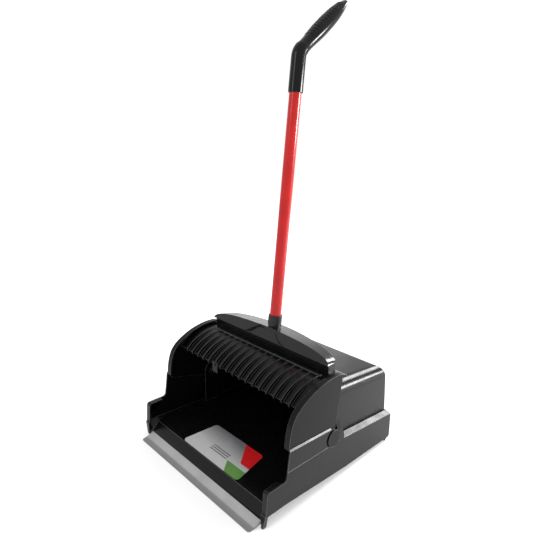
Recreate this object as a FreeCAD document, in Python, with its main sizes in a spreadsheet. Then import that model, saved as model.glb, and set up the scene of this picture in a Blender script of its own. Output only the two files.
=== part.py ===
"""Long-handled lobby dust pan with a swinging ribbed hood.

Frame: X to the right, Y from the open mouth towards the back, Z up, millimetres.
The origin lies on the floor in the middle of the whole set's length and width.
Every sub-part is drawn with the hinge axis at Y = 0 and then moved forwards by hinge_offset.
"""

import FreeCAD
import Part
import math
import os

from FreeCAD import Placement, Rotation, Vector

DIMENSIONS = [
    ("pan_half_width", 202.5, "outer face of the lower side walls"),
    ("side_wall", 3.2, "thickness of the lower side walls"),
    ("shell_wall", 2.8, "general moulded wall thickness"),
    ("box_half_width", 190.0, "outer face of the upper rear box"),
    ("box_front", 31.0, "front edge of the rear box"),
    ("box_back", 201.5, "rear face of the rear box at its foot"),
    ("box_top_front", 201.5, "height of the box top at its front edge"),
    ("box_top_back", 181.5, "height of the box top at its back edge"),
    ("box_round", 26.0, "rounding of the box top edges"),
    ("corner_round", 6.0, "rounding of the upright rear corners of the box"),
    ("hinge_height", 100.0, "height of the hinge axis"),
    ("hinge_offset", 16.14, "distance of the hinge axis in front of the origin"),
    ("notch_radius", 18.6, "round notch in the side wall about the hub"),
    ("notch_reach", 4.5, "how far the notch is opened out in front of the hub"),
    ("hub_radius", 18.0, "outer hub of the hood cheek"),
    ("hub_face", 203.4, "outer face of the hub"),
    ("cheek_half_width", 198.6, "outer face of the hood cheeks"),
    ("rim_half_width", 186.0, "inner edge of the turned-in cheek rim"),
    ("rim_depth", 3.6, "thickness of the turned-in rim"),
    ("shell_radius", 124.3, "outer radius of the hood shell about the hinge"),
    ("rib_count", 17, "raised ribs on the hood"),
    ("rib_pitch", 20.4, "spacing of the ribs"),
    ("rib_width", 3.2, "thickness of one rib"),
    ("pin_radius", 5.0, "hinge pin"),
    ("pin_play", 0.05, "radial running clearance of the hinge pin"),
    ("pin_length", 21.0, "hinge pin, end to end"),
    ("pin_inner_end", 178.5, "distance of the pin's inner end from the middle"),
    ("lip_half_width", 184.0, "rubber lip"),
    ("handle_lean", 6.52, "backward lean of the handle, degrees"),
    ("tube_radius", 12.7, "handle tube, outside"),
    ("tube_bore", 11.9, "handle tube, inside"),
    ("tube_length", 566.0, "handle tube, end to end"),
    ("socket_radius", 14.2, "socket neck on the bridge"),
    ("socket_bore", 13.0, "bore of the socket, collar and grip sleeve"),
    ("sleeve_radius", 15.2, "sleeve of the grip"),
    ("collar_radius", 15.3, "collar round the foot of the tube"),
    ("collar_length", 21.5, "collar, end to end"),
    ("insert_radius", 11.5, "plug inside the foot of the tube"),
    ("insert_length", 42.0, "plug above its flange"),
    ("insert_flange", 2.5, "flange under the end of the tube"),
    ("screw_radius", 2.0, "bridge screw shank"),
    ("screw_head", 4.2, "bridge screw head"),
    ("screw_spacing", 96.0, "distance of each bridge screw from the middle"),
    ("screw_seat", 219.0, "height of the face under which the screw heads sit"),
    ("bridge_half_width", 178.5, "half of the bridge's length"),
    ("bridge_foot", 245.0, "underside of the crescent"),
    ("bridge_wall", 3.0, "wall thickness of the bridge"),
    ("label_thickness", 0.4, "adhesive label"),
]

doc = FreeCAD.newDocument("LobbyDustPan")
sheet = doc.addObject("Spreadsheet::Sheet", "Dimensions")
for row, (alias, value, note) in enumerate(DIMENSIONS, start=1):
    sheet.set(f"A{row}", note)
    sheet.set(f"B{row}", str(value))
    sheet.setAlias(f"B{row}", alias)
doc.recompute()


def dim(alias):
    """One driving dimension, read from the sheet."""
    return float(sheet.get(alias))


# Profile helpers: a profile is a list of (u, v) or (u, v, corner radius) points.


def rounded_wire(profile, to_space):
    """Closed wire through a profile, its corners rounded by their own radii."""
    corners = [(point + (0.0,))[:3] for point in profile]
    runs = []
    for index, (u, v, radius) in enumerate(corners):
        here = Vector(u, v, 0)
        before = Vector(*corners[index - 1][:2], 0)
        after = Vector(*corners[(index + 1) % len(corners)][:2], 0)
        if radius <= 0:
            runs.append((here,))
            continue
        back = (before - here).normalize()
        ahead = (after - here).normalize()
        half_angle = back.getAngle(ahead) / 2
        reach = radius / math.tan(half_angle)
        middle = (back + ahead).normalize() * (radius / math.sin(half_angle) - radius)
        runs.append((here + back * reach, here + middle, here + ahead * reach))
    edges = []
    for index, run in enumerate(runs):
        if len(run) == 3:
            edges.append(Part.Arc(*[to_space(p.x, p.y) for p in run]).toShape())
        start = to_space(run[-1].x, run[-1].y)
        following = runs[(index + 1) % len(runs)][0]
        end = to_space(following.x, following.y)
        edges.append(Part.makeLine(start, end))
    return Part.Wire(edges)


def prism_x(profile, start, end):
    """A (Y, Z) profile extruded along X."""
    wire = rounded_wire(profile, lambda u, v: Vector(start, u, v))
    return Part.Face(wire).extrude(Vector(end - start, 0, 0))


def prism_y(profile, start, end):
    """An (X, Z) profile extruded along Y."""
    wire = rounded_wire(profile, lambda u, v: Vector(u, start, v))
    return Part.Face(wire).extrude(Vector(0, end - start, 0))


def prism_z(profile, start, end):
    """An (X, Y) profile extruded along Z."""
    wire = rounded_wire(profile, lambda u, v: Vector(u, v, start))
    return Part.Face(wire).extrude(Vector(0, 0, end - start))


def hinge_cylinder(radius, start, end):
    """A cylinder on the hinge axis."""
    centre = Vector(start, 0, dim("hinge_height"))
    return Part.makeCylinder(radius, end - start, centre, Vector(1, 0, 0))


def box_between(low, high):
    """An axis-aligned block from its low corner to its high corner."""
    return Part.makeBox(*[b - a for a, b in zip(low, high)], Vector(*low))


def mirrored(shape):
    return shape.mirror(Vector(0, 0, 0), Vector(1, 0, 0))


def both_sides(shape):
    return [shape, mirrored(shape)]


def joined(shapes):
    """One cleaned solid from overlapping shapes."""
    result = shapes[0].multiFuse(shapes[1:]).removeSplitter()
    return result.Solids[0] if len(result.Solids) == 1 else result


def seated(placement):
    """A placement moved from the hinge to the origin of the whole set."""
    return Placement(Vector(0, -dim("hinge_offset"), 0), Rotation()) * placement


def named(label, shape, placement=Placement()):
    """A finished sub-part held as its own object of the document."""
    feature = doc.addObject("Part::Feature", label)
    feature.Shape = shape
    feature.Placement = seated(placement)
    feature.Label = label
    return feature


# Pan: raised floor behind a low front edge, side walls, feet, ears and rear box.

FLOOR_TOP = [(-179, 6.4), (-173.5, 14), (-160, 24), (-69, 28.5), (140, 2.8), (202, 2.8)]
TONGUE = [(-190, 1.4), (-190, 3.6), (-179, 3.6), (-179, 6.0), (-174, 12), (-176.5, 1.4)]
SIDE_FOOT = [(-184, 28), (-130, 26.2), (40, 12.6), (204, 7.2)]
LEDGE_FRONT = (16.0, 86.5)
LEDGE_BACK = (204.0, 65.2)
LEDGE_FALL = (LEDGE_FRONT[1] - LEDGE_BACK[1]) / (LEDGE_BACK[0] - LEDGE_FRONT[0])
GUSSET = (17.0, 32.0)


def height_on(line, y):
    """Height of a (Y, Z) polyline at one Y."""
    for (y0, z0), (y1, z1) in zip(line, line[1:]):
        if y0 <= y <= y1:
            return z0 + (z1 - z0) * (y - y0) / (y1 - y0)
    raise ValueError(f"{y} is outside the line")


def side_wall():
    """Right lower wall: ear, front post, stepped upper band and bevelled shoulder."""
    outer = dim("pan_half_width")
    inner = outer - dim("side_wall")
    outline = [
        (-184, 28, 2),
        (-180, 76, 6),
        (-132, 75.6, 7),
        (-123.6, 134.6, 1.5),
        (-9, 126.2, 1),
        (-2, 90),
        LEDGE_FRONT,
        LEDGE_BACK + (1.5,),
        (204, 7.2, 6),
        (40, 12.6),
        (-130, 26.2),
    ]
    wall = prism_x(outline, inner, outer)
    step = 0.8
    band = prism_x([(-140, 92.0), (18, 86.2), (18, 150), (-140, 150)], outer - step, outer + 1)
    corners = [(inner, 0), (outer + 1, -6.2), (outer + 1, 8), (inner, 8)]
    sections = []
    for y, top in ((-140, 135.8), (0, 125.5)):
        points = [Vector(x, y, top + rise) for x, rise in corners]
        sections.append(Part.makePolygon(points + points[:1]))
    bevel = Part.makeLoft(sections, True, True)
    return wall.cut(band).cut(bevel)


def ear_flange():
    """Turned-in flange along the front and top of the right ear, with its foot."""
    outer = dim("pan_half_width")
    inner = outer - 12
    strip = [
        (-184.5, 14, 1),
        (-180, 76, 6),
        (-146, 75.6, 1),
        (-146, 72.6, 1),
        (-177, 72.8, 4),
        (-181, 14, 1),
    ]
    flange = prism_x(strip, inner, outer)
    foot = prism_y([(inner, 0, 1), (inner, 30), (outer, 30), (outer - 5.5, 0.4, 4)], -186, -179)
    upper = prism_y([(inner, 28), (inner, 80), (outer, 80), (outer, 28)], -190, -140)
    return joined([flange.common(upper), foot])


def front_cove():
    """Sloped strip joining the floor to the foot of the right side wall."""
    outer = dim("pan_half_width")
    sections = []
    for y in (-182.5, -173.5, -160, -69, 40, 140, 201.5):
        floor = height_on(FLOOR_TOP, max(y, -179))
        foot = height_on(SIDE_FOOT, y)
        corners = [
            (outer - 14.5, floor - 2.4),
            (outer - 14.5, floor - 0.4),
            (outer - 1.2, foot + 4.2),
            (outer - 1.2, foot + 1.2),
        ]
        points = [Vector(x, y, z) for x, z in corners]
        sections.append(Part.makePolygon(points + points[:1]))
    return Part.makeLoft(sections, True, True)


def rear_box(inset):
    """Rounded rear box; a positive inset gives the cavity inside it."""
    half = dim("box_half_width") - inset
    front = dim("box_front") - inset
    profile = [
        (front, 82 - 4 * inset),
        (front, dim("box_top_front") - inset),
        (194.5 - inset, dim("box_top_back") - inset),
        (dim("box_back") - inset, 62.7 - 4 * inset),
    ]
    block = prism_x(profile, -half, half)
    rim = [e for e in block.Edges if e.CenterOfMass.z > 150 and e.CenterOfMass.y > front + 10]
    block = block.makeFillet(dim("box_round") - inset, rim)
    upright = [e for e in block.Edges if e.CenterOfMass.y > 190 and 75 < e.CenterOfMass.z < 150]
    corners = [e for e in upright if abs(e.tangentAt(e.FirstParameter).x) < 0.1]
    return block.makeFillet(dim("corner_round") - inset, corners)


def side_ledge():
    """Right ledge: two outward-sloping treads from the rear box to the lower wall."""
    box = dim("box_half_width")
    outer = dim("pan_half_width")
    wall = dim("shell_wall")
    start = GUSSET[1] - wall
    base = LEDGE_FRONT[1] - LEDGE_FALL * (start - LEDGE_FRONT[0])
    treads = [(box - wall, 4.9), (box, 4.9), (box + 6, 2.2), (box + 6.3, 3.4), (outer, 0.8)]
    section = [(x, base + rise) for x, rise in treads]
    section += [(x, z - wall) for x, z in reversed(section)]
    wire = rounded_wire(section, lambda u, v: Vector(u, start, v))
    length = LEDGE_BACK[0] - start
    return Part.Face(wire).extrude(Vector(0, length, -LEDGE_FALL * length))


def hub_gusset():
    """Sloping shoulder behind the right hub that closes the front end of the ledge."""
    box = dim("box_half_width")
    outer = dim("pan_half_width")
    wall = dim("shell_wall")
    front, back = GUSSET
    full = [(box - wall, 80), (box - wall, 128), (box, 128), (outer, 96), (outer, 80)]
    hollow = [(box - wall - 1, 79), (box - wall - 1, 121), (box, 121)]
    hollow += [(outer - wall, 94), (outer - wall, 79)]
    return prism_y(full, front, back).cut(prism_y(hollow, front - 1, back - wall))


def hinge_bracket():
    """Inner plate that carries the right hinge pin and closes the gap beside the rear box."""
    outer = dim("box_half_width")
    inner = outer - dim("shell_wall")
    outline = [
        (-24, 21.5),
        (-24, 104, 10),
        (-14, 121, 10),
        (6, 150, 10),
        (14, 203, 3),
        (29, 205, 3),
        (30, 172),
        (34, 172),
        (34, 14.5),
    ]
    plate = prism_x(outline, inner, outer)
    boss = hinge_cylinder(9.5, 180, 190)
    return joined([plate, boss])


def build_pan():
    outer = dim("pan_half_width")
    wall = dim("shell_wall")
    floor_under = [(y, z - wall) for y, z in reversed(FLOOR_TOP)]
    floor = prism_x(FLOOR_TOP + floor_under, 13.5 - outer, outer - 13.5)
    back_ledge = box_between((-200, 198, 62.4), (200, 203.8, 65.2))
    back_wall = box_between((2 - outer, 201, 7.6), (outer - 2, 204, 65.2))
    back_cove = prism_x([(190, 0), (190, 2.8), (201, 11), (204, 8)], 2 - outer, outer - 2)
    tongue = prism_x(TONGUE, -177.5, 177.5)
    right_side = [side_wall(), ear_flange(), front_cove(), side_ledge(), hub_gusset()]
    right_side.append(hinge_bracket())
    parts = [floor, back_ledge, back_wall, back_cove, tongue]
    for piece in right_side:
        parts += both_sides(piece)
    parts.append(rear_box(0).cut(rear_box(wall)))
    pan = joined(parts)
    notch = hinge_cylinder(dim("notch_radius"), 190.5, outer + 1)
    opened = notch.translated(Vector(0, -dim("notch_reach"), dim("notch_reach") / 2))
    for cutter in (notch, opened, hinge_cylinder(dim("pin_radius"), 170, 200)):
        for tool in both_sides(cutter):
            pan = pan.cut(tool)
    return pan


# Rubber lip: a flat blade and a sloping wedge with a slot that grips the tongue of the pan.


def build_lip():
    half = dim("lip_half_width")
    wedge = [(-209, 0), (-209, 1.4), (-200, 2.0), (-179.4, 8.6), (-179.4, 0)]
    plan = [(-half, -209, 5), (half, -209, 5), (half, -179.4), (-half, -179.4)]
    lip = prism_x(wedge, -half, half).common(prism_z(plan, -1, 10))
    slot = box_between((-177.8, -190.2, 1.4), (177.8, -170, 3.7))
    return lip.cut(slot)


# Hood: two fan-shaped cheeks on hubs, a ribbed shell between them and a turned-in rim.

RIM_CURVE = [
    (-123.6, 131),
    (-121.6, 152),
    (-117.5, 170),
    (-112, 184),
    (-104, 195),
    (-92, 205),
    (-79, 212.5),
    (-65, 219),
    (-51, 224),
    (-37, 227.5),
    (-22, 230.3),
    (-7, 231.5),
    (8, 231.5),
    (25.5, 229),
]
FRONT_ANGLE = 133.0
BACK_ANGLE = 64.0
SEAT_HEIGHT = 226.6
SEAT_GAP = 0.35


def curve_edge(points, x):
    curve = Part.BSplineCurve()
    curve.interpolate([Vector(x, y, z) for y, z in points])
    return curve.toShape()


def towards_hinge(points, distance):
    """The same points, moved straight towards the hinge axis."""
    height = dim("hinge_height")
    moved = []
    for y, z in points:
        radius = math.hypot(y, z - height)
        scale = (radius - distance) / radius
        moved.append((y * scale, height + (z - height) * scale))
    return moved


def face_of(edges):
    return Part.Face(Part.Wire(Part.__sortEdges__(edges)))


def polyline(points, x):
    space = [Vector(x, y, z) for y, z in points]
    return [Part.makeLine(a, b) for a, b in zip(space, space[1:])]


def sector(inner, outer, from_angle, to_angle, start, end):
    """Part of a ring about the hinge axis; angles run from +Y over the top."""
    height = dim("hinge_height")

    def at(radius, angle):
        turn = math.radians(angle)
        return Vector(start, radius * math.cos(turn), height + radius * math.sin(turn))

    middle = (from_angle + to_angle) / 2
    edges = [
        Part.Arc(at(outer, from_angle), at(outer, middle), at(outer, to_angle)).toShape(),
        Part.makeLine(at(outer, to_angle), at(inner, to_angle)),
        Part.Arc(at(inner, to_angle), at(inner, middle), at(inner, from_angle)).toShape(),
        Part.makeLine(at(inner, from_angle), at(outer, from_angle)),
    ]
    return face_of(edges).extrude(Vector(end - start, 0, 0))


def cheek():
    """Right cheek plate with its hub and the turned-in rim."""
    outer = dim("cheek_half_width")
    inner = outer - dim("shell_wall")
    edge_points = [RIM_CURVE[-1], (24.5, 222), (6.5, 118), (12, 90), (-13, 88)]
    edge_points += [(-60, 103), (-112, 116), RIM_CURVE[0]]
    fan = face_of([curve_edge(RIM_CURVE, inner)] + polyline(edge_points, inner))
    plate = fan.extrude(Vector(outer - inner, 0, 0))
    inside = towards_hinge(RIM_CURVE, dim("rim_depth"))
    start = dim("rim_half_width")
    rim_edges = [curve_edge(RIM_CURVE, start), curve_edge(inside, start)]
    rim_edges += polyline([RIM_CURVE[0], inside[0]], start)
    rim_edges += polyline([RIM_CURVE[-1], inside[-1]], start)
    rim = face_of(rim_edges).extrude(Vector(outer - start, 0, 0))
    hub = hinge_cylinder(dim("hub_radius"), 190.6, dim("hub_face"))
    return joined([plate, rim, hub])


RIB_CREST = [
    (-3, 224.9),
    (-28, 223.9),
    (-52, 218.6),
    (-74, 208.6),
    (-87, 198.2),
    (-90.3, 192.4),
    (-88.4, 188.8),
    (-84.2, 189.6),
]
RIB_FOOT = [(-84.2, 189.6), (-50, 212.3), (-3, 222.7)]


def rib():
    """The middle rib: a crest that grows towards its curled front end."""
    start = -dim("rib_width") / 2
    foot = Part.Arc(*[Vector(start, y, z) for y, z in RIB_FOOT]).toShape()
    edges = [curve_edge(RIB_CREST, start), foot]
    edges += polyline([RIB_FOOT[-1], RIB_CREST[0]], start)
    return face_of(edges).extrude(Vector(dim("rib_width"), 0, 0))


def build_hood():
    wall = dim("shell_wall")
    radius = dim("shell_radius")
    span = dim("cheek_half_width") - 1
    shell = sector(radius - wall, radius, 80, FRONT_ANGLE, -span, span)
    skirt = sector(radius - wall, radius, BACK_ANGLE, 82, -187, 187)
    border = sector(radius - 1, radius + 2.2, 91, 93.5, -168, 168)
    tab = prism_x([(-86, 172, 1), (-83, 172, 1), (-83, 196), (-86, 196)], -72, -56)
    parts = [shell, skirt, border, tab]
    parts += both_sides(cheek())
    count = int(dim("rib_count"))
    middle_rib = rib()
    for index in range(count):
        place = (index - (count - 1) / 2) * dim("rib_pitch")
        parts.append(middle_rib.translated(Vector(place, 0, 0)))
    parts += both_sides(box_between((86, 12, 221), (106, 26, SEAT_HEIGHT)))
    hood = joined(parts)
    bore = hinge_cylinder(dim("pin_radius") + dim("pin_play"), 180, 199.7)
    for tool in both_sides(bore):
        hood = hood.cut(tool)
    for x in (-dim("screw_spacing"), dim("screw_spacing")):
        hood = hood.cut(Part.makeCylinder(dim("screw_radius") + 0.4, 30, Vector(x, 19, 205)))
    return hood


# Bridge: crescent on top of the hood, with the socket for the handle.

LEAN = Rotation(Vector(1, 0, 0), -dim("handle_lean"))
AXIS_FOOT = Vector(0, 31.6, 250)


def on_axis(distance):
    """A point on the handle axis, measured up from the foot of the tube."""
    return AXIS_FOOT + LEAN.multVec(Vector(0, 0, distance))


CREST = [(0, 271.3), (60, 269.6), (105, 266.8), (140, 262.6), (163, 257.2), (174, 252.0)]
REAR_EDGE = [(0, 56), (60, 53.5), (105, 47), (150, 37), (178.5, 28)]
TOP_FALL = 0.15
FRONT_FOOT = 2.0
FRONT_LEAN = 12 / 22.5
BOSS_TOP = 263.0


def arch(half_points, to_space):
    """Smooth edge through points given for the right half only, from left to right."""
    left = [(-u, v) for u, v in reversed(half_points[1:])]
    curve = Part.BSplineCurve()
    curve.interpolate([to_space(u, v) for u, v in left + half_points])
    return curve.toShape()


def crescent(inset):
    """Crescent with a leaning front face and a top that falls to the rear."""
    half = dim("bridge_half_width") - inset
    foot = dim("bridge_foot") + inset
    shrink = half / dim("bridge_half_width")
    crest = [(x * shrink, z - inset) for x, z in CREST] + [(half, foot + 1)]
    top = arch(crest, lambda u, v: Vector(u, 0, v))
    below = [(half, foot + 1), (half, 228), (-half, 228), (-half, foot + 1)]
    space = [Vector(x, 0, z) for x, z in below]
    sides = [Part.makeLine(a, b) for a, b in zip(space, space[1:])]
    depth = 66
    body = face_of([top] + sides).extrude(Vector(0, depth, -depth * TOP_FALL))
    rear = [(x * shrink, y - inset) for x, y in REAR_EDGE]
    front = FRONT_FOOT + inset
    corner = rear[-1]
    outline = [corner, (half, front), (-half, front), (-corner[0], corner[1])]
    flat = [Vector(x, y, foot) for x, y in outline]
    edges = [arch(rear, lambda u, v: Vector(u, v, foot))]
    edges += [Part.makeLine(a, b) for a, b in zip(flat, flat[1:])]
    plan = face_of(edges).extrude(Vector(0, 0, 45))
    rise = 40
    lean = [(front, foot), (front + rise * FRONT_LEAN, foot + rise), (-9, foot + rise), (-9, foot)]
    return body.common(plan).cut(prism_x(lean, -half - 1, half + 1))


def arch_panel():
    """Thin raised panel in the middle of the crescent's leaning front face."""
    profile = [(-62, -1), (-44, 2, 8), (-24, 19.5, 12), (24, 19.5, 12), (44, 2, 8), (62, -1)]
    panel = prism_y(profile, -1.0, 4.0)
    panel.rotate(Vector(), Vector(1, 0, 0), -math.degrees(math.atan(FRONT_LEAN)))
    panel.translate(Vector(0, FRONT_FOOT, dim("bridge_foot") + 1.5))
    return panel


def axis_cylinder(radius, start, end):
    """A cylinder on the handle axis, between two distances from the tube's foot."""
    return Part.makeCylinder(radius, end - start, on_axis(start), LEAN.multVec(Vector(0, 0, 1)))


def riser():
    """Hollow block that carries the crescent down to the curved shell of the hood."""
    wall = dim("bridge_wall")
    half = 175
    outside = box_between((-half, 8, 218), (half, 30, dim("bridge_foot") + 1))
    roof = dim("bridge_foot") + wall + 1
    inside = box_between((-150, 8 + wall, 217), (150, 30 - wall, roof))
    bed = hinge_cylinder(dim("shell_radius") + SEAT_GAP, -half - 1, half + 1)
    return outside.cut(bed), inside


def build_bridge():
    neck = dim("socket_radius")
    outside, inside = riser()
    shell = crescent(0).cut(crescent(dim("bridge_wall")))
    bridge = joined([shell, outside, arch_panel()]).cut(inside)
    solids = [bridge, axis_cylinder(neck, -22, 21)]
    solids.append(Part.makeCone(21, neck, 14, on_axis(3), LEAN.multVec(Vector(0, 0, 1))))
    for x in (-dim("screw_spacing"), dim("screw_spacing")):
        solids.append(Part.makeCylinder(6, BOSS_TOP - SEAT_HEIGHT, Vector(x, 19, SEAT_HEIGHT)))
    bridge = joined(solids).cut(axis_cylinder(dim("socket_bore"), -dim("insert_flange"), 60))
    for x in (-dim("screw_spacing"), dim("screw_spacing")):
        bridge = bridge.cut(Part.makeCylinder(dim("screw_radius"), 20, Vector(x, 19, 226)))
    return bridge


# Handle: steel tube, plug in its foot, collar, and a moulded grip bent backwards.


def cylinder_object(name, radius, height):
    body = doc.addObject("Part::Cylinder", name)
    body.setExpression("Radius", f"Dimensions.{radius}")
    body.setExpression("Height", f"Dimensions.{height}")
    return body


def pipe_object(label, radius, bore, height, placement):
    """A straight pipe whose sizes follow the sheet."""
    pipe = doc.addObject("Part::Cut", label)
    pipe.Base = cylinder_object(label + "_outside", radius, height)
    pipe.Tool = cylinder_object(label + "_bore", bore, height)
    pipe.Placement = seated(placement)
    pipe.Label = label
    return pipe


def insert_object():
    """Plug inside the foot of the tube, with the flange the tube stands on."""
    plug = cylinder_object("insert_plug", "insert_radius", "insert_length")
    flange = cylinder_object("insert_disc", "tube_radius", "insert_flange")
    flange.setExpression("Placement.Base.z", "-Dimensions.insert_flange")
    insert = doc.addObject("Part::Fuse", "handle_insert")
    insert.Base = plug
    insert.Tool = flange
    insert.Placement = seated(Placement(on_axis(0), LEAN))
    insert.Label = "handle_insert"
    return insert


def pin_object(label, side):
    """A hinge pin pressed into the bracket boss of one side."""
    pin = cylinder_object(label, "pin_radius", "pin_length")
    turn = Rotation(Vector(0, 1, 0), 90 * side)
    start = Vector(side * dim("pin_inner_end"), 0, dim("hinge_height"))
    pin.Placement = seated(Placement(start, turn))
    pin.Label = label
    return pin


SLEEVE_START = 507.5
SLEEVE_LENGTH = 68.0
BEND_RADIUS = 24.0
GRIP_ELEVATION = 39.0
RIDGE_COUNT = 14
GRIP_LINE = [
    # y, z, half width across X, half height
    (104.6, 836.8, 14.9, 14.85),
    (131, 857.5, 14.3, 14.4),
    (153.5, 875, 15.6, 15.9),
    (176.5, 893, 15.6, 16.0),
    (200, 911.5, 14.4, 14.6),
    (221, 928.5, 11.6, 10.8),
    (238, 942, 7.0, 5.2),
]


def grip_frame(y, z):
    """Placement whose Z axis runs along the grip and whose Y axis points to its underside."""
    return Placement(Vector(0, y, z), Rotation(Vector(1, 0, 0), GRIP_ELEVATION - 90))


def oval(half_width, half_height, placement):
    """An ellipse centred on a section of the grip."""
    across = Vector(1, 0, 0) * half_width
    along = placement.Rotation.multVec(Vector(0, 1, 0)) * half_height
    centre = placement.Base
    if half_width >= half_height:
        ellipse = Part.Ellipse(centre + across, centre + along, centre)
    else:
        ellipse = Part.Ellipse(centre + along, centre - across, centre)
    return Part.Wire(ellipse.toShape())


def grip_at(fraction):
    """Section data part of the way along the ridged length of the grip."""
    run = GRIP_LINE[1:6]
    position = fraction * (len(run) - 1)
    index = min(int(position), len(run) - 2)
    share = position - index
    return [a + (b - a) * share for a, b in zip(run[index], run[index + 1])]


def grip_ridge(fraction):
    """One raised ridge across the upper side of the grip."""
    y, z, wide, high = grip_at(fraction)
    frame = grip_frame(y, z)
    disc = Part.makeCylinder(high + 1.1, 2.6)
    upper = Part.makeBox(1.7 * wide, high, 2.6, Vector(-0.85 * wide, -high - 2, 0))
    ridge = disc.common(upper)
    ridge.Placement = frame
    return ridge


def build_grip():
    """Sleeve round the tube, a bend, and a ridged hand part that tapers to its tip."""
    along = LEAN.multVec(Vector(0, 0, 1))
    radius = dim("sleeve_radius")
    sleeve = Part.makeCylinder(radius, SLEEVE_LENGTH, on_axis(SLEEVE_START), along)
    bend_start = on_axis(SLEEVE_START + SLEEVE_LENGTH)
    pivot = bend_start + LEAN.multVec(Vector(0, BEND_RADIUS, 0))
    disc = Part.Face(Part.Wire(Part.makeCircle(radius, bend_start, along)))
    turn = 90 - dim("handle_lean") - GRIP_ELEVATION
    bend = disc.revolve(pivot, Vector(1, 0, 0), -turn)
    wires = [oval(w, h, grip_frame(y, z)) for y, z, w, h in GRIP_LINE]
    grip = Part.makeLoft(wires, True, False)
    for index in range(RIDGE_COUNT):
        grip = grip.fuse(grip_ridge(index / (RIDGE_COUNT - 1)))
    bore = Part.makeCylinder(dim("socket_bore"), 76, on_axis(490), along)
    return grip.fuse([bend, sleeve]).cut(bore)


def screw(x):
    seat = dim("screw_seat")
    shank = Part.makeCylinder(dim("screw_radius"), 24, Vector(x, 19, seat))
    head = Part.makeCylinder(dim("screw_head"), 2.6, Vector(x, 19, seat - 2.6))
    return joined([shank, head])


def build_label():
    """Blank adhesive label lying on the raised floor."""
    outline = [(-92, 2, 8), (92, 2, 8), (78, 87, 8), (-78, 87, 8)]
    return prism_z(outline, 0, dim("label_thickness"))


floor_tilt = math.degrees(math.atan2(28.5 - 24, -69 + 160))
label_place = Placement(Vector(0, -160, 24), Rotation(Vector(1, 0, 0), floor_tilt))
screws = Part.makeCompound([screw(side * dim("screw_spacing")) for side in (-1, 1)])
collar_place = Placement(on_axis(21), LEAN)
tube_place = Placement(on_axis(0), LEAN)
parts = [
    named("pan_body", build_pan()),
    named("rubber_lip", build_lip()),
    named("floor_label", build_label(), label_place),
    named("hood", build_hood()),
    named("handle_bridge", build_bridge()),
    named("bridge_screws", screws),
    pipe_object("handle_collar", "collar_radius", "socket_bore", "collar_length", collar_place),
    insert_object(),
    pipe_object("handle_tube", "tube_radius", "tube_bore", "tube_length", tube_place),
    named("hand_grip", build_grip()),
    pin_object("pivot_pin_right", 1),
    pin_object("pivot_pin_left", -1),
]
doc.recompute()

for thing in doc.Objects:
    if "Invalid" in thing.State or "Error" in thing.State:
        raise RuntimeError(f"{thing.Name} did not recompute: {thing.State}")

os.makedirs("parts", exist_ok=True)
for part in parts:
    if part.Shape.isNull() or not part.Shape.isValid():
        raise RuntimeError(f"{part.Label} has no valid shape")
    print(part.Label, "solids", len(part.Shape.Solids), "volume", round(part.Shape.Volume))
    part.Shape.exportStep(f"parts/{part.Label}.step")
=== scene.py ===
"""Looks for the long-handled lobby dust pan: materials, softened edges, light, floor and camera."""

import math

import bpy
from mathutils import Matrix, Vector


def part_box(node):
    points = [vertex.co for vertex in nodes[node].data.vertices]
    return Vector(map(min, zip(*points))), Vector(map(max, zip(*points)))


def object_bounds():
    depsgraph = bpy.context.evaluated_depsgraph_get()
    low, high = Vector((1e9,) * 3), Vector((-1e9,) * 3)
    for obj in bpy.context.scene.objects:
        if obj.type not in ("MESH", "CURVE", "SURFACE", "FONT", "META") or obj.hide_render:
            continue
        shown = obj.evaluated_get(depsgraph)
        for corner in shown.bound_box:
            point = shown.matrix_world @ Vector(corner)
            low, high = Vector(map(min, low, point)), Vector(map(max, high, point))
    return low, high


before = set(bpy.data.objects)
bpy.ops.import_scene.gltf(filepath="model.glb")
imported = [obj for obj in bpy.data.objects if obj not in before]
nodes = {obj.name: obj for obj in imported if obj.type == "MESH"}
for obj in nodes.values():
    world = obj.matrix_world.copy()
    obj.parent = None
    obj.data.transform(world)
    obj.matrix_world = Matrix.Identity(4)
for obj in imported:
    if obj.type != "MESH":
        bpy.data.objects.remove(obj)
cad_low, cad_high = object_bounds()
object_centre = (cad_low + cad_high) / 2

# Lip: the flat blade rubs along the floor; up to this height it is painted darker, as painted
# shade.
BLADE_TOP = 0.0026
BLADE_FADE = 0.0010

# Softened edges, in metres. The narrow ones are on thin walls, films and tubes.
# Faces that meet at more than SOFTENED_ANGLE are softened, and faces that are closer
# to flat than SAME_PLANE are joined first.
EDGE_WIDTH = 0.0006
EDGE_WIDTHS = {
    "pan_body": 0.0003,
    "handle_bridge": 0.0003,
    "rubber_lip": 0.0004,
    "floor_label": 0.00005,
    "handle_tube": 0.0002,
    "bridge_screws": 0.0003,
}
EDGE_SEGMENTS = 2
SOFTENED_ANGLE = math.radians(32)
SAME_PLANE = math.radians(0.6)
SAME_POINT = 0.00002
FLAT_FACE_WEIGHT = 100

# Softboxes: place, width and height in metres, and power in watts.
SOFTBOXES = {
    "rear_right_panel": ((2.05, 2.25, 0.85), (1.2, 0.5), 100),
    "back_panel": ((0.2, 2.6, 1.75), (1.0, 0.6), 50),
    "rear_left_panel": ((-2.2, 2.2, 0.75), (1.6, 0.6), 4),
    "front_panel": ((-0.4, -2.6, 2.0), (0.7, 1.4), 18),
}
SURROUNDINGS_STRENGTH = 1.02

FLOOR_REACH = 12.0
FLOOR_GAP = 0.0003
FLOOR_GLOW = 0.06

CAMERA_PLACE = (0.70326, -0.67507, 0.67881)
CAMERA_LOOKS_DOWN = 15.65
CAMERA_TURN = 46.47
FOCAL_LENGTH_MM = 32.475
SENSOR_WIDTH_MM = 36.0


# Node helpers


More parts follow.
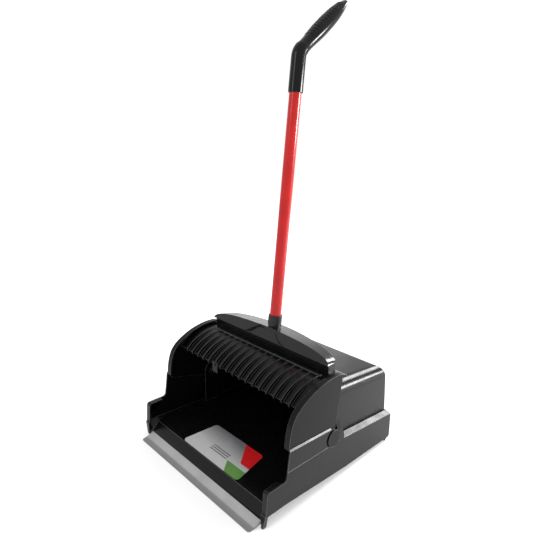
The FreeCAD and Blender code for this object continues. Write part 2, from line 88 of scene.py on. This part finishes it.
class Nodes:
    """A material's node tree, with short calls for the nodes used here."""

    def __init__(self, name):
        self.material = bpy.data.materials.new(name)
        self.material.use_nodes = True
        self.tree = self.material.node_tree
        self.shader = self.tree.nodes["Principled BSDF"]
        self.space = self.tree.nodes.new("ShaderNodeTexCoord").outputs["Object"]

    def add(self, kind, **settings):
        node = self.tree.nodes.new(kind)
        for key, value in settings.items():
            setattr(node, key, value)
        return node

    def put(self, socket, value):
        """Links an output, or sets a plain value."""
        if isinstance(value, bpy.types.NodeSocket):
            self.tree.links.new(value, socket)
        else:
            socket.default_value = value

    def math(self, operation, first, second=0.0, third=0.0, clamp=False):
        node = self.add("ShaderNodeMath", operation=operation, use_clamp=clamp)
        for socket, value in zip(node.inputs, (first, second, third)):
            self.put(socket, value)
        return node.outputs[0]

    def noise(self, scale, detail=3.0, roughness=0.5, stretch=(1, 1, 1)):
        """Noise over the object's own space; scale is in features per metre."""
        mapping = self.add("ShaderNodeMapping")
        self.put(mapping.inputs["Vector"], self.space)
        mapping.inputs["Scale"].default_value = stretch
        node = self.add("ShaderNodeTexNoise")
        self.put(node.inputs["Vector"], mapping.outputs[0])
        node.inputs["Scale"].default_value = scale
        node.inputs["Detail"].default_value = detail
        node.inputs["Roughness"].default_value = roughness
        return node.outputs["Fac"]

    def between(self, factor, from_low, from_high, to_low=0.0, to_high=1.0):
        """Stretches one range of a factor onto another, 0 to 1 unless stated."""
        node = self.add("ShaderNodeMapRange")
        values = (factor, from_low, from_high, to_low, to_high)
        for socket, value in zip(node.inputs, values):
            self.put(socket, value)
        return node.outputs[0]

    def blend(self, factor, first, second):
        """Mixes two colours: the first at 0, the second at 1."""
        node = self.add("ShaderNodeMix", data_type="RGBA")
        for name, value in (("Factor", factor), ("A", first), ("B", second)):
            kind = "VALUE" if name == "Factor" else "RGBA"
            socket = next(s for s in node.inputs if s.name == name and s.type == kind)
            self.put(socket, value)
        return next(s for s in node.outputs if s.type == "RGBA")

    def edges(self):
        """1 on outward edges, 0 on flat faces."""
        pointiness = self.add("ShaderNodeNewGeometry").outputs["Pointiness"]
        return self.between(pointiness, 0.56, 0.66)

    def bump(self, heights):
        """Chains (height, strength, distance in metres) into one normal."""
        normal = None
        for height, strength, distance in heights:
            node = self.add("ShaderNodeBump")
            node.inputs["Strength"].default_value = strength
            node.inputs["Distance"].default_value = distance
            self.put(node.inputs["Height"], height)
            if normal is not None:
                self.put(node.inputs["Normal"], normal)
            normal = node.outputs[0]
        self.put(self.shader.inputs["Normal"], normal)

    def set(self, **sockets):
        """Sets or links the shader's sockets, such as base_color."""
        for name, value in sockets.items():
            self.put(self.shader.inputs[name.replace("_", " ").title()], value)


def grey(value, tint=0.0):
    """A neutral colour with a slight cool tint."""
    return (value, value, value * (1 + tint), 1.0)


# Materials


def moulded_plastic(name, shade, rough, specular, grain=0.10, scuffs=0.12):
    """Black polypropylene: fine mould grain, soft flow variation, scuffs and worn edges."""
    n = Nodes(name)
    flow = n.noise(7.0, detail=4.0)
    cloud = n.noise(38.0, detail=3.0)
    fine = n.noise(1500.0, detail=2.0, roughness=0.6)
    scratch = n.noise(55.0, detail=6.0, roughness=0.75, stretch=(1.0, 9.0, 1.4))
    darker = grey(shade * 0.8, 0.05)
    lighter = grey(shade * 1.3, 0.05)
    colour = n.blend(n.between(flow, 0.3, 0.7), darker, lighter)
    dust = n.between(cloud, 0.45, 0.8, 0.0, 0.16)
    colour = n.blend(dust, colour, grey(shade * 2.6))
    worn = n.math("MULTIPLY", n.edges(), n.between(scratch, 0.35, 0.7, 0.1, 0.5))
    colour = n.blend(worn, colour, grey(shade * 4.5))
    n.set(base_color=colour)
    marks = n.between(scratch, 0.56, 0.72, 0.0, scuffs)
    base_rough = n.between(cloud, 0.25, 0.75, rough - 0.05, rough + 0.06)
    n.set(roughness=n.math("ADD", base_rough, marks, clamp=True))
    n.shader.inputs["Specular IOR Level"].default_value = specular
    grain_depth = 0.00012
    flow_depth = 0.0012
    n.bump([(fine, grain, grain_depth), (flow, 0.12, flow_depth)])
    return n.material


def rubber(name, blade_top):
    """Mid-grey lip rubber: speckled, rubbed along its length, with painted shade darkening the flat
    blade.
    """
    n = Nodes(name)
    speckle = n.noise(1100.0, detail=2.0, roughness=0.7)
    cloud = n.noise(26.0, detail=4.0)
    rubbed = n.noise(30.0, detail=5.0, roughness=0.7, stretch=(1.0, 12.0, 4.0))
    colour = n.blend(n.between(cloud, 0.3, 0.7), grey(0.33, 0.01), grey(0.40, 0.01))
    colour = n.blend(n.between(rubbed, 0.55, 0.75, 0.0, 0.4), colour, grey(0.46))
    colour = n.blend(n.between(speckle, 0.55, 0.8, 0.0, 0.35), colour, grey(0.20))
    axes = n.add("ShaderNodeSeparateXYZ")
    n.put(axes.inputs[0], n.space)
    # The flat blade is painted darker than the wedge above it: painted shade.
    blade = n.between(axes.outputs["Z"], blade_top, blade_top + BLADE_FADE, 0.75, 0.0)
    colour = n.blend(blade, colour, grey(0.14))
    n.set(base_color=colour, roughness=n.between(rubbed, 0.3, 0.7, 0.5, 0.68))
    n.shader.inputs["Specular IOR Level"].default_value = 0.45
    n.bump([(speckle, 0.3, 0.0002), (rubbed, 0.2, 0.0005)])
    return n.material


def red_coating(name):
    """Glossy red coating over the steel tube, with orange peel and fine handling marks."""
    n = Nodes(name)
    peel = n.noise(420.0, detail=2.0)
    cloud = n.noise(14.0, detail=3.0)
    rubs = n.noise(60.0, detail=6.0, roughness=0.8, stretch=(6.0, 6.0, 0.5))
    deep_red = (0.36, 0.004, 0.004, 1)
    bright_red = (0.44, 0.007, 0.006, 1)
    rubbed_red = (0.20, 0.005, 0.005, 1)
    colour = n.blend(n.between(cloud, 0.3, 0.7), deep_red, bright_red)
    colour = n.blend(n.between(rubs, 0.6, 0.8, 0.0, 0.3), colour, rubbed_red)
    n.set(base_color=colour, roughness=n.between(rubs, 0.4, 0.8, 0.2, 0.36))
    n.shader.inputs["Specular IOR Level"].default_value = 0.2
    n.shader.inputs["Coat Weight"].default_value = 0.25
    n.shader.inputs["Coat Roughness"].default_value = 0.08
    n.bump([(peel, 0.12, 0.0002)])
    return n.material


def zinc(name):
    """Zinc-plated screw steel with fine turning marks."""
    n = Nodes(name)
    turned = n.noise(900.0, detail=3.0, roughness=0.6, stretch=(1, 1, 6))
    spots = n.noise(260.0, detail=3.0)
    dull_zinc = (0.42, 0.43, 0.45, 1)
    bright_zinc = (0.66, 0.66, 0.64, 1)
    colour = n.blend(spots, dull_zinc, bright_zinc)
    n.set(base_color=colour, roughness=n.between(turned, 0.3, 0.7, 0.24, 0.45))
    n.shader.inputs["Metallic"].default_value = 1.0
    n.bump([(turned, 0.3, 0.0001)])
    return n.material


def printed_label(name, low, high):
    """Pale film with plain fields: darker at the back, a red side, a green corner, three bars."""
    n = Nodes(name)
    axes = n.add("ShaderNodeSeparateXYZ")
    n.put(axes.inputs[0], n.space)
    across = n.between(axes.outputs["X"], low.x, high.x)
    back = n.between(axes.outputs["Y"], low.y, high.y)
    paper = n.noise(900.0, detail=2.0)
    tone = n.noise(16.0, detail=3.0)

    colour = n.blend(n.between(paper, 0.2, 0.8), grey(0.50), grey(0.58))
    shade = n.math("ADD", back, n.math("MULTIPLY", across, 0.25))
    colour = n.blend(n.between(shade, 0.42, 1.05), colour, grey(0.16, 0.08))

    # Both coloured fields lie right of a slanting line.
    field = n.math("ADD", across, n.math("MULTIPLY", back, 0.35))
    right_of_green = n.math("GREATER_THAN", field, 0.78)
    in_front = n.math("LESS_THAN", back, 0.30)
    dark_green = (0.05, 0.16, 0.03, 1)
    light_green = (0.16, 0.33, 0.09, 1)
    green = n.blend(tone, dark_green, light_green)
    colour = n.blend(n.math("MULTIPLY", right_of_green, in_front), colour, green)
    right_of_red = n.math("GREATER_THAN", field, 0.98)
    behind = n.math("GREATER_THAN", back, 0.44)
    red = (0.60, 0.012, 0.015, 1)
    colour = n.blend(n.math("MULTIPLY", right_of_red, behind), colour, red)

    bar_middle = 0.50
    bar_half_length = 0.15
    bar_half_height = 0.013
    for row in (0.30, 0.37, 0.44):
        in_row = n.math("COMPARE", back, row, bar_half_height)
        in_length = n.math("COMPARE", across, bar_middle, bar_half_length)
        colour = n.blend(n.math("MULTIPLY", in_row, in_length), colour, grey(0.06))
    n.set(base_color=colour, roughness=n.between(paper, 0.2, 0.8, 0.22, 0.34))
    n.shader.inputs["Coat Weight"].default_value = 0.4
    n.shader.inputs["Coat Roughness"].default_value = 0.12
    n.bump([(paper, 0.08, 0.0001), (tone, 0.25, 0.0008)])
    return n.material


pan_plastic = moulded_plastic("pan_plastic", shade=0.0030, rough=0.22, specular=0.19)
hood_plastic = moulded_plastic("hood_plastic", shade=0.0022, rough=0.21, specular=0.13)
bridge_plastic = moulded_plastic("bridge_plastic", shade=0.0035, rough=0.21, specular=0.36)
grip_plastic = moulded_plastic("grip_plastic", shade=0.0018, rough=0.15, specular=0.19)
pin_plastic = moulded_plastic("pin_plastic", 0.008, 0.42, 0.4, grain=0.3, scuffs=0.1)

finishes = {
    "pan_body": pan_plastic,
    "rubber_lip": rubber("lip_rubber", cad_low.z + BLADE_TOP),
    "floor_label": printed_label("printed_label", *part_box("floor_label")),
    "hood": hood_plastic,
    "handle_bridge": bridge_plastic,
    "bridge_screws": zinc("screw_zinc"),
    "handle_collar": moulded_plastic("collar_plastic", 0.0045, 0.38, 0.35, grain=0.35),
    "handle_insert": moulded_plastic("insert_plastic", 0.006, 0.45, 0.4, grain=0.35, scuffs=0.1),
    "handle_tube": red_coating("red_coating"),
    "hand_grip": grip_plastic,
    "pivot_pin_right": pin_plastic,
    "pivot_pin_left": pin_plastic,
}

# These mouldings' softened edges are painted paler than their faces: a painted highlight along each
# edge.
painted_edge_highlights = {
    "pan_body": moulded_plastic("pan_painted_edge_highlight", shade=0.10, rough=0.30, specular=0.3),
    "hood": moulded_plastic("hood_painted_edge_highlight", shade=0.05, rough=0.30, specular=0.3),
}


def dress(node, material):
    """Gives a CAD node its finish and a softened edge, painted paler as an edge highlight where one
    is listed.
    """
    part = nodes[node]
    part.data.materials.clear()
    part.data.materials.append(material)
    weld = part.modifiers.new("weld", "WELD")
    weld.merge_threshold = SAME_POINT
    flats = part.modifiers.new("flat_faces", "DECIMATE")
    flats.decimate_type = "DISSOLVE"
    flats.angle_limit = SAME_PLANE
    bevel = part.modifiers.new("soft_edges", "BEVEL")
    bevel.width = EDGE_WIDTHS.get(node, EDGE_WIDTH)
    bevel.segments = EDGE_SEGMENTS
    bevel.use_clamp_overlap = False
    bevel.limit_method = "ANGLE"
    bevel.angle_limit = SOFTENED_ANGLE
    # The paler colour on the softened edge is a painted highlight.
    if node in painted_edge_highlights:
        part.data.materials.append(painted_edge_highlights[node])
        bevel.material = len(part.data.materials) - 1
    normals = part.modifiers.new("even_normals", "WEIGHTED_NORMAL")
    normals.weight = FLAT_FACE_WEIGHT


for node, material in finishes.items():
    dress(node, material)


# Floor, light and camera


def add_floor():
    """Large pale floor that fades into the pale surroundings."""
    mesh = bpy.data.meshes.new("studio_floor")
    sides = ((-1, -1), (1, -1), (1, 1), (-1, 1))
    corners = [(x * FLOOR_REACH, y * FLOOR_REACH, 0) for x, y in sides]
    mesh.from_pydata(corners, [], [(0, 1, 2, 3)])
    floor = bpy.data.objects.new("studio_floor", mesh)
    floor.location.z = -FLOOR_GAP
    bpy.context.scene.collection.objects.link(floor)
    n = Nodes("floor_paint")
    n.set(base_color=n.blend(n.noise(3.0), grey(0.97), grey(0.99)))
    n.shader.inputs["Roughness"].default_value = 0.9
    n.shader.inputs["Specular IOR Level"].default_value = 0.1
    n.shader.inputs["Emission Color"].default_value = (1, 1, 1, 1)
    n.shader.inputs["Emission Strength"].default_value = FLOOR_GLOW
    mesh.materials.append(n.material)


def add_soft_light(name, place, size, power):
    """A rectangular softbox that faces the middle of the object."""
    lamp = bpy.data.lights.new(name, "AREA")
    lamp.shape = "RECTANGLE"
    lamp.size, lamp.size_y = size
    lamp.energy = power
    light = bpy.data.objects.new(name, lamp)
    light.location = place
    direction = object_centre - Vector(place)
    light.rotation_euler = direction.to_track_quat("-Z", "Y").to_euler()
    light.visible_camera = False
    bpy.context.scene.collection.objects.link(light)


def add_surroundings():
    """Even white light from all round."""
    world = bpy.data.worlds.new("pale_studio")
    world.use_nodes = True
    background = world.node_tree.nodes["Background"]
    background.inputs["Color"].default_value = (1, 1, 1, 1)
    background.inputs["Strength"].default_value = SURROUNDINGS_STRENGTH
    bpy.context.scene.world = world
    bpy.context.scene.view_settings.view_transform = "Standard"


def add_camera():
    """Camera above the middle of the handle, in front and to the right, looking down a little."""
    lens = bpy.data.cameras.new("camera")
    lens.sensor_width = SENSOR_WIDTH_MM
    lens.lens = FOCAL_LENGTH_MM
    camera = bpy.data.objects.new("camera", lens)
    camera.location = CAMERA_PLACE
    camera.rotation_euler = (math.radians(90 - CAMERA_LOOKS_DOWN), 0, math.radians(CAMERA_TURN))
    bpy.context.scene.collection.objects.link(camera)
    bpy.context.scene.camera = camera


add_floor()
add_surroundings()
for name, (place, size, power) in SOFTBOXES.items():
    add_soft_light(name, place, size, power)
add_camera()
